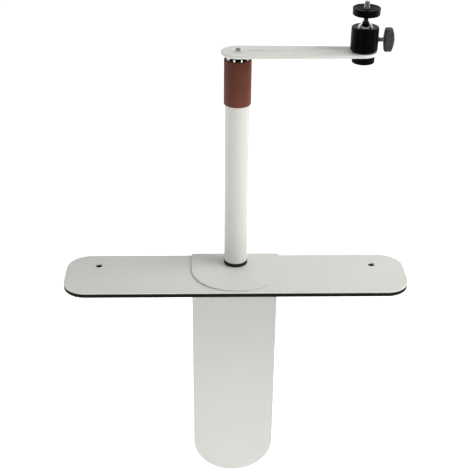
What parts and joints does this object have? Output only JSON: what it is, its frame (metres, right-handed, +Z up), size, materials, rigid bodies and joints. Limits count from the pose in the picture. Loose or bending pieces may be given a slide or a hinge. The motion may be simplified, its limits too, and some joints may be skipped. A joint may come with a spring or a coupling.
{
  "type": "overhead camera stand",
  "caption": "Hang-on book scanner camera stand: a padded wing plate with a long rear tongue, a post, a swinging slotted arm and a small ball head with a camera stud.",
  "frame": {"origin": "on the post's axis, in the plane of the rubber pad's underside", "axes": "+X right along the wing and the arm, +Y back towards the tongue, +Z up along the post"},
  "size_m": [0.415, 0.0905, 0.6863],
  "materials": {
    "white_paint": "satin powder coat",
    "black_rubber": "matt",
    "brown_sleeve": "satin, reddish brown",
    "chrome": "polished",
    "dark_steel": "oil-blackened, satin",
    "black_anodised": "satin black anodised",
    "black_knob": "moulded, fluted",
    "grey_knob": "moulded, soft satin",
    "bronze": "sintered bronze",
    "black_plastic": "acetal",
    "steel": "bright zinc",
    "turned_aluminium": "turned"
  },
  "bodies": {
    "stand": {"rubber_pad": "black_rubber", "wing_plate": "white_paint", "l_bracket": "white_paint", "bracket_screws": "steel", "foot_ring": "black_rubber", "base_plug": "turned_aluminium", "base_bolt": "steel", "post_tube": "white_paint", "grip_sleeve": "brown_sleeve", "spindle_housing": "turned_aluminium", "upper_bush": "bronze", "lower_bush": "bronze", "friction_washer": "black_plastic"},
    "arm": {"swing_arm": "white_paint", "swivel_spindle": "chrome", "pivot_screw": "chrome", "dowel_pins": "steel", "retaining_ring": "steel", "disc_springs": "steel", "thrust_washer": "steel"},
    "slot_guide": {"slot_washer": "black_plastic"},
    "thumb_screw": {"thumb_knob": "black_knob", "clamp_stud": "steel"},
    "head": {"head_housing": "black_anodised", "mouth_ring": "black_anodised", "brake_cup": "black_plastic"},
    "lock": {"lock_screw": "steel", "lock_knob": "grey_knob"},
    "ball": {"ball": "chrome"},
    "stem": {"ball_stem": "dark_steel"},
    "platform": {"platform": "black_anodised", "platform_pad": "black_rubber", "camera_stud": "steel"}
  },
  "joints": [
    {"name": "arm_swivel", "type": "hinge", "parent": "stand", "child": "arm", "pos_m": [0, 0, 0.27635], "axis": [0, 0, 1], "range_deg": [-180, 180]},
    {"name": "head_slide", "type": "slide", "parent": "arm", "child": "slot_guide", "axis": [1, 0, 0], "range_m": [-0.093, 0]},
    {"name": "head_pan", "type": "hinge", "parent": "slot_guide", "child": "head", "pos_m": [0.13975, 0, 0.28045], "axis": [0, 0, 1], "range_deg": [-90, 90]},
    {"name": "thumb_screw_turn", "type": "hinge", "parent": "slot_guide", "child": "thumb_screw", "pos_m": [0.13975, 0, 0.27165], "axis": [0, 0, 1], "range_deg": [-360, 0]},
    {"name": "lock_knob_turn", "type": "hinge", "parent": "head", "child": "lock", "pos_m": [0.16065, 0, 0.29335], "axis": [1, 0, 0], "range_deg": [0, 270]},
    {"name": "ball_pan", "type": "hinge", "parent": "head", "child": "ball", "pos_m": [0.13975, 0, 0.30365], "axis": [0, 0, 1], "continuous": true},
    {"name": "ball_tilt", "type": "hinge", "parent": "ball", "child": "stem", "pos_m": [0.13975, 0, 0.30365], "axis": [0, 1, 0], "range_deg": [-35, 35]},
    {"name": "ball_spin", "type": "hinge", "parent": "stem", "child": "platform", "pos_m": [0.13975, 0, 0.32525], "axis": [0, 0, 1], "continuous": true}
  ]
}
